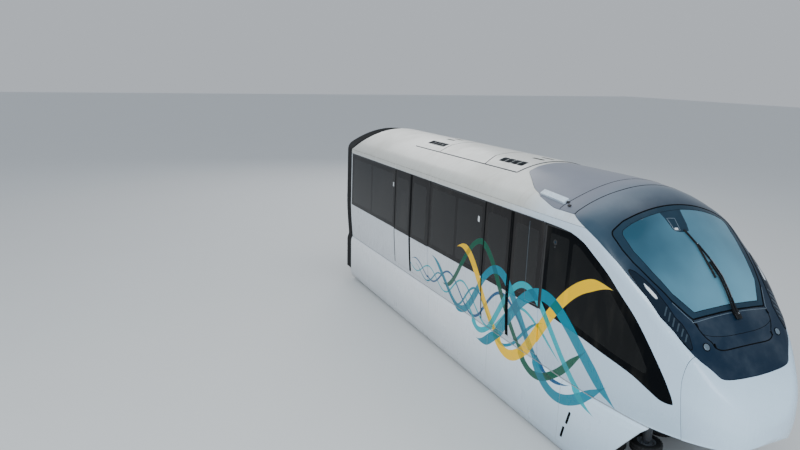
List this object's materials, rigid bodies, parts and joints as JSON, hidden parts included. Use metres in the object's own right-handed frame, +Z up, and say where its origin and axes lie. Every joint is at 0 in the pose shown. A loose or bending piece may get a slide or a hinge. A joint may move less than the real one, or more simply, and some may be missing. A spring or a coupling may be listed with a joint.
{
  "type": "monorail car",
  "caption": "Lead car of a straddle-beam monorail train: hollow body with sliding doors, raked windscreen, skirts round the beam, two bogies with load, guide and stabilising wheels.",
  "frame": {"origin": "on the guideway beam's running surface, on the centre line, 6.695 m ahead of the rear frame", "axes": "+X forward to the nose, +Y to the car's left, +Z up"},
  "size_m": [14.007, 3.2236, 4.935],
  "materials": {
    "white_paint": "gloss",
    "roof_paint": "satin",
    "mask_paint": "gloss",
    "grey_roof_panel": "matte",
    "windscreen_glass": "clear gloss",
    "tinted_glass": "dark gloss",
    "underframe_steel": "satin",
    "interior_panel": "matte",
    "seat_plastic": "satin",
    "handrail_steel": "brushed",
    "bellows_rubber": "matte",
    "wiper_black": "satin",
    "bogie_steel": "satin",
    "tyre_rubber": "matte",
    "guide_tyre_rubber": "matte"
  },
  "bodies": {
    "car_body": {"nose_cowl": "white_paint", "side_wall_left": "white_paint", "side_wall_right": "white_paint", "cab_side_left": "white_paint", "cab_side_right": "white_paint", "skirt_left": "white_paint", "skirt_right": "white_paint", "roof_shell": "roof_paint", "roof_air_unit": "roof_paint", "nose_mask": "mask_paint", "cab_roof_panel": "grey_roof_panel", "windscreen": "windscreen_glass", "rear_window_left": "tinted_glass", "rear_window_right": "tinted_glass", "middle_window_left": "tinted_glass", "middle_window_right": "tinted_glass", "cab_window_left": "tinted_glass", "cab_window_right": "tinted_glass", "underframe": "underframe_steel", "rear_drawbar": "underframe_steel", "floor": "interior_panel", "wheel_housing_rear": "interior_panel", "wheel_housing_front": "interior_panel", "rear_bulkhead": "interior_panel", "driving_desk": "interior_panel", "seat_island": "seat_plastic", "seat_bench_rear_left": "seat_plastic", "seat_bench_rear_right": "seat_plastic", "seat_bench_middle_left": "seat_plastic", "seat_bench_middle_right": "seat_plastic", "handrail_left": "handrail_steel", "handrail_right": "handrail_steel", "gangway_bellows": "bellows_rubber", "wiper": "wiper_black"},
    "bogie_rear": {"bogie_frame_rear": "bogie_steel", "traction_motor_rear": "bogie_steel"},
    "load_axle_rear": {"load_wheels_rear": "tyre_rubber"},
    "guide_wheel_rear_left_lead_body": {"guide_wheel_rear_left_lead": "guide_tyre_rubber"},
    "guide_wheel_rear_left_trail_body": {"guide_wheel_rear_left_trail": "guide_tyre_rubber"},
    "stabiliser_wheel_rear_left_body": {"stabiliser_wheel_rear_left": "guide_tyre_rubber"},
    "guide_wheel_rear_right_lead_body": {"guide_wheel_rear_right_lead": "guide_tyre_rubber"},
    "guide_wheel_rear_right_trail_body": {"guide_wheel_rear_right_trail": "guide_tyre_rubber"},
    "stabiliser_wheel_rear_right_body": {"stabiliser_wheel_rear_right": "guide_tyre_rubber"},
    "bogie_front": {"bogie_frame_front": "bogie_steel", "traction_motor_front": "bogie_steel"},
    "load_axle_front": {"load_wheels_front": "tyre_rubber"},
    "guide_wheel_front_left_lead_body": {"guide_wheel_front_left_lead": "guide_tyre_rubber"},
    "guide_wheel_front_left_trail_body": {"guide_wheel_front_left_trail": "guide_tyre_rubber"},
    "stabiliser_wheel_front_left_body": {"stabiliser_wheel_front_left": "guide_tyre_rubber"},
    "guide_wheel_front_right_lead_body": {"guide_wheel_front_right_lead": "guide_tyre_rubber"},
    "guide_wheel_front_right_trail_body": {"guide_wheel_front_right_trail": "guide_tyre_rubber"},
    "stabiliser_wheel_front_right_body": {"stabiliser_wheel_front_right": "guide_tyre_rubber"},
    "door_1_left_rear_leaf_body": {"door_1_left_rear_leaf": "white_paint"},
    "door_1_left_front_leaf_body": {"door_1_left_front_leaf": "white_paint"},
    "door_1_right_rear_leaf_body": {"door_1_right_rear_leaf": "white_paint"},
    "door_1_right_front_leaf_body": {"door_1_right_front_leaf": "white_paint"},
    "door_2_left_rear_leaf_body": {"door_2_left_rear_leaf": "white_paint"},
    "door_2_left_front_leaf_body": {"door_2_left_front_leaf": "white_paint"},
    "door_2_right_rear_leaf_body": {"door_2_right_rear_leaf": "white_paint"},
    "door_2_right_front_leaf_body": {"door_2_right_front_leaf": "white_paint"}
  },
  "joints": [
    {"name": "bogie_rear_yaw", "type": "hinge", "parent": "car_body", "child": "bogie_rear", "pos_m": [-5.145, 0, 0.47], "axis": [0, 0, 1], "range_deg": [-4, 4]},
    {"name": "load_axle_rear_spin", "type": "hinge", "parent": "bogie_rear", "child": "load_axle_rear", "pos_m": [-5.145, 0, 0.503], "axis": [0, 1, 0], "continuous": true},
    {"name": "guide_wheel_rear_left_lead_spin", "type": "hinge", "parent": "bogie_rear", "child": "guide_wheel_rear_left_lead_body", "pos_m": [-4.365, 0.615, -0.27], "axis": [0, 0, 1], "continuous": true},
    {"name": "guide_wheel_rear_left_trail_spin", "type": "hinge", "parent": "bogie_rear", "child": "guide_wheel_rear_left_trail_body", "pos_m": [-5.925, 0.615, -0.27], "axis": [0, 0, 1], "continuous": true},
    {"name": "stabiliser_wheel_rear_left_spin", "type": "hinge", "parent": "bogie_rear", "child": "stabiliser_wheel_rear_left_body", "pos_m": [-5.145, 0.615, -0.64], "axis": [0, 0, 1], "continuous": true},
    {"name": "guide_wheel_rear_right_lead_spin", "type": "hinge", "parent": "bogie_rear", "child": "guide_wheel_rear_right_lead_body", "pos_m": [-4.365, -0.615, -0.27], "axis": [0, 0, 1], "continuous": true},
    {"name": "guide_wheel_rear_right_trail_spin", "type": "hinge", "parent": "bogie_rear", "child": "guide_wheel_rear_right_trail_body", "pos_m": [-5.925, -0.615, -0.27], "axis": [0, 0, 1], "continuous": true},
    {"name": "stabiliser_wheel_rear_right_spin", "type": "hinge", "parent": "bogie_rear", "child": "stabiliser_wheel_rear_right_body", "pos_m": [-5.145, -0.615, -0.64], "axis": [0, 0, 1], "continuous": true},
    {"name": "bogie_front_yaw", "type": "hinge", "parent": "car_body", "child": "bogie_front", "pos_m": [4.305, 0, 0.47], "axis": [0, 0, 1], "range_deg": [-4, 4]},
    {"name": "load_axle_front_spin", "type": "hinge", "parent": "bogie_front", "child": "load_axle_front", "pos_m": [4.305, 0, 0.503], "axis": [0, 1, 0], "continuous": true},
    {"name": "guide_wheel_front_left_lead_spin", "type": "hinge", "parent": "bogie_front", "child": "guide_wheel_front_left_lead_body", "pos_m": [5.085, 0.615, -0.27], "axis": [0, 0, 1], "continuous": true},
    {"name": "guide_wheel_front_left_trail_spin", "type": "hinge", "parent": "bogie_front", "child": "guide_wheel_front_left_trail_body", "pos_m": [3.525, 0.615, -0.27], "axis": [0, 0, 1], "continuous": true},
    {"name": "stabiliser_wheel_front_left_spin", "type": "hinge", "parent": "bogie_front", "child": "stabiliser_wheel_front_left_body", "pos_m": [4.305, 0.615, -0.64], "axis": [0, 0, 1], "continuous": true},
    {"name": "guide_wheel_front_right_lead_spin", "type": "hinge", "parent": "bogie_front", "child": "guide_wheel_front_right_lead_body", "pos_m": [5.085, -0.615, -0.27], "axis": [0, 0, 1], "continuous": true},
    {"name": "guide_wheel_front_right_trail_spin", "type": "hinge", "parent": "bogie_front", "child": "guide_wheel_front_right_trail_body", "pos_m": [3.525, -0.615, -0.27], "axis": [0, 0, 1], "continuous": true},
    {"name": "stabiliser_wheel_front_right_spin", "type": "hinge", "parent": "bogie_front", "child": "stabiliser_wheel_front_right_body", "pos_m": [4.305, -0.615, -0.64], "axis": [0, 0, 1], "continuous": true},
    {"name": "door_1_left_rear_slide", "type": "slide", "parent": "car_body", "child": "door_1_left_rear_leaf_body", "axis": [-1, 0, 0], "range_m": [0, 0.79]},
    {"name": "door_1_left_front_slide", "type": "slide", "parent": "car_body", "child": "door_1_left_front_leaf_body", "axis": [1, 0, 0], "range_m": [0, 0.79]},
    {"name": "door_1_right_rear_slide", "type": "slide", "parent": "car_body", "child": "door_1_right_rear_leaf_body", "axis": [-1, 0, 0], "range_m": [0, 0.79]},
    {"name": "door_1_right_front_slide", "type": "slide", "parent": "car_body", "child": "door_1_right_front_leaf_body", "axis": [1, 0, 0], "range_m": [0, 0.79]},
    {"name": "door_2_left_rear_slide", "type": "slide", "parent": "car_body", "child": "door_2_left_rear_leaf_body", "axis": [-1, 0, 0], "range_m": [0, 0.79]},
    {"name": "door_2_left_front_slide", "type": "slide", "parent": "car_body", "child": "door_2_left_front_leaf_body", "axis": [1, 0, 0], "range_m": [0, 0.79]},
    {"name": "door_2_right_rear_slide", "type": "slide", "parent": "car_body", "child": "door_2_right_rear_leaf_body", "axis": [-1, 0, 0], "range_m": [0, 0.79]},
    {"name": "door_2_right_front_slide", "type": "slide", "parent": "car_body", "child": "door_2_right_front_leaf_body", "axis": [1, 0, 0], "range_m": [0, 0.79]}
  ]
}
